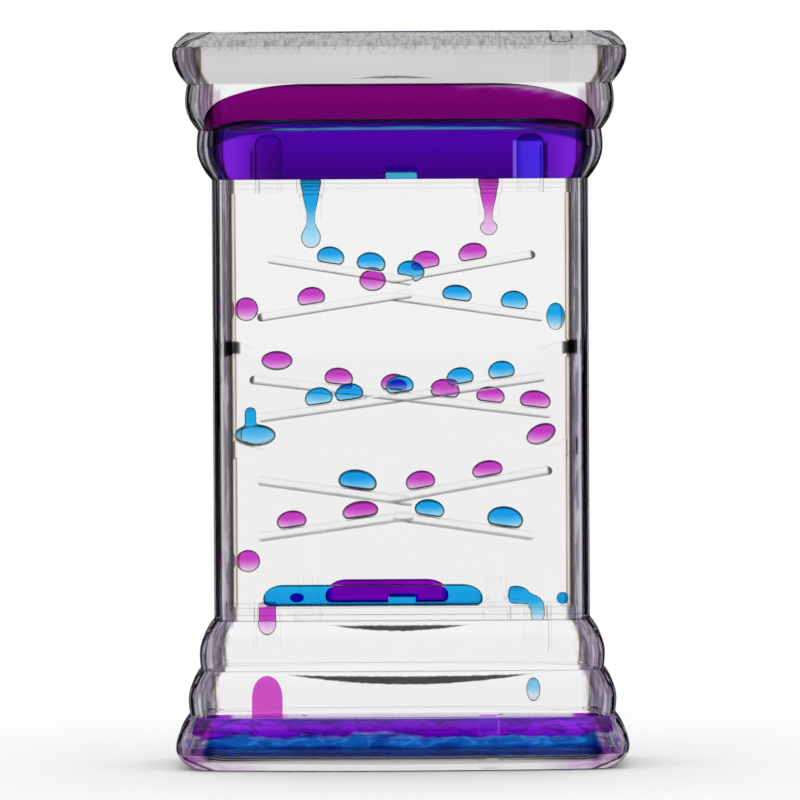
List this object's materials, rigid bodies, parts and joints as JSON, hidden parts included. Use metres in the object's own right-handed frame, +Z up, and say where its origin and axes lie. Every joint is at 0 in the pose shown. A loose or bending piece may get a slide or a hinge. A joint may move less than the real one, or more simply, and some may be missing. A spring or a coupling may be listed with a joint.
{
  "type": "liquid motion timer",
  "caption": "Clear sealed timer with ribbed ends, where blue and magenta drops run down crossed ramps in two channels.",
  "frame": {"origin": "middle of the bottom lid's outer face, which the timer stands on", "axes": "+Z up along the timer's height, +X to the right, the front channel faces -Y"},
  "size_m": [0.0894, 0.0438, 0.145],
  "materials": {
    "clear_case": "polished clear plastic",
    "clear_inner": "clear moulded plastic",
    "blue_water": "dyed water, clear",
    "magenta_water": "dyed water, clear"
  },
  "bodies": {
    "case": {"blue_draining_drop": "blue_water", "blue_floor_pool": "blue_water", "blue_hanging_drop": "blue_water", "blue_landed_drop": "blue_water", "blue_lower_charge": "blue_water", "blue_upper_charge": "blue_water", "bottom_lid": "clear_case", "divider": "clear_inner", "front_fill_plug": "clear_inner", "front_fourth_ramp": "clear_inner", "front_high_ramp": "clear_inner", "front_left_wall": "clear_inner", "front_long_ramp": "clear_inner", "front_low_ramp": "clear_inner", "front_lower_deck": "clear_inner", "front_lower_nozzle": "clear_inner", "front_lower_tube": "clear_inner", "front_right_wall": "clear_inner", "front_second_ramp": "clear_inner", "front_shell": "clear_case", "front_upper_deck": "clear_inner", "front_upper_nozzle": "clear_inner", "front_upper_tube": "clear_inner", "magenta_draining_finger": "magenta_water", "magenta_edge_drop": "magenta_water", "magenta_floor_pool": "magenta_water", "magenta_hanging_drop": "magenta_water", "magenta_lower_charge": "magenta_water", "magenta_upper_charge": "magenta_water", "rear_fill_plug": "clear_inner", "rear_fourth_ramp": "clear_inner", "rear_high_ramp": "clear_inner", "rear_left_wall": "clear_inner", "rear_long_ramp": "clear_inner", "rear_low_ramp": "clear_inner", "rear_lower_deck": "clear_inner", "rear_lower_nozzle": "clear_inner", "rear_lower_tube": "clear_inner", "rear_right_wall": "clear_inner", "rear_second_ramp": "clear_inner", "rear_shell": "clear_case", "rear_upper_deck": "clear_inner", "rear_upper_nozzle": "clear_inner", "rear_upper_tube": "clear_inner", "top_lid": "clear_case"},
    "blue_high_run_body": {"blue_high_drops": "blue_water", "blue_tipping_drop": "blue_water"},
    "blue_second_run_body": {"blue_second_drops": "blue_water"},
    "blue_long_run_body": {"blue_long_drops": "blue_water"},
    "blue_fourth_run_body": {"blue_fourth_drop": "blue_water"},
    "blue_low_run_body": {"blue_low_drops": "blue_water"},
    "blue_fall_body": {"blue_falling_drop": "blue_water"},
    "blue_reservoir_fall_body": {"blue_reservoir_drop": "blue_water"},
    "magenta_high_run_body": {"magenta_high_drops": "magenta_water"},
    "magenta_second_run_body": {"magenta_second_drops": "magenta_water"},
    "magenta_long_run_body": {"magenta_long_drops": "magenta_water"},
    "magenta_fourth_run_body": {"magenta_fourth_drops": "magenta_water"},
    "magenta_low_run_body": {"magenta_low_drops": "magenta_water"},
    "magenta_tumble_body": {"magenta_tumbling_drop": "magenta_water"},
    "magenta_fall_body": {"magenta_falling_drop": "magenta_water"}
  },
  "joints": [
    {"name": "blue_high_run", "type": "slide", "parent": "case", "child": "blue_high_run_body", "axis": [0.9871, 0, -0.1599], "range_m": [0, 0.003]},
    {"name": "blue_second_run", "type": "slide", "parent": "case", "child": "blue_second_run_body", "axis": [0.9898, 0, -0.1426], "range_m": [0, 0.0024]},
    {"name": "blue_long_run", "type": "slide", "parent": "case", "child": "blue_long_run_body", "axis": [-0.9903, 0, -0.1392], "range_m": [0, 0.0075]},
    {"name": "blue_fourth_run", "type": "slide", "parent": "case", "child": "blue_fourth_run_body", "axis": [0.99, 0, -0.1409], "range_m": [0, 0.0055]},
    {"name": "blue_low_run", "type": "slide", "parent": "case", "child": "blue_low_run_body", "axis": [0.9893, 0, -0.1461], "range_m": [0, 0.0015]},
    {"name": "blue_fall", "type": "slide", "parent": "case", "child": "blue_fall_body", "axis": [0, 0, -1], "range_m": [0, 0.002]},
    {"name": "blue_reservoir_fall", "type": "slide", "parent": "case", "child": "blue_reservoir_fall_body", "axis": [0, 0, -1], "range_m": [0, 0.0025]},
    {"name": "magenta_high_run", "type": "slide", "parent": "case", "child": "magenta_high_run_body", "axis": [-0.9854, 0, -0.1702], "range_m": [0, 0.0038]},
    {"name": "magenta_second_run", "type": "slide", "parent": "case", "child": "magenta_second_run_body", "axis": [-0.9885, 0, -0.1513], "range_m": [0, 0.0066]},
    {"name": "magenta_long_run", "type": "slide", "parent": "case", "child": "magenta_long_run_body", "axis": [0.9928, 0, -0.1201], "range_m": [0, 0.0022]},
    {"name": "magenta_fourth_run", "type": "slide", "parent": "case", "child": "magenta_fourth_run_body", "axis": [-0.9848, 0, -0.1736], "range_m": [0, 0.0028]},
    {"name": "magenta_low_run", "type": "slide", "parent": "case", "child": "magenta_low_run_body", "axis": [-0.9905, 0, -0.1374], "range_m": [0, 0.0025]},
    {"name": "magenta_tumble", "type": "slide", "parent": "case", "child": "magenta_tumble_body", "axis": [-0.64, 0, -0.7684], "range_m": [0, 0.003]},
    {"name": "magenta_fall", "type": "slide", "parent": "case", "child": "magenta_fall_body", "axis": [0, 0, -1], "range_m": [0, 0.0052]}
  ]
}
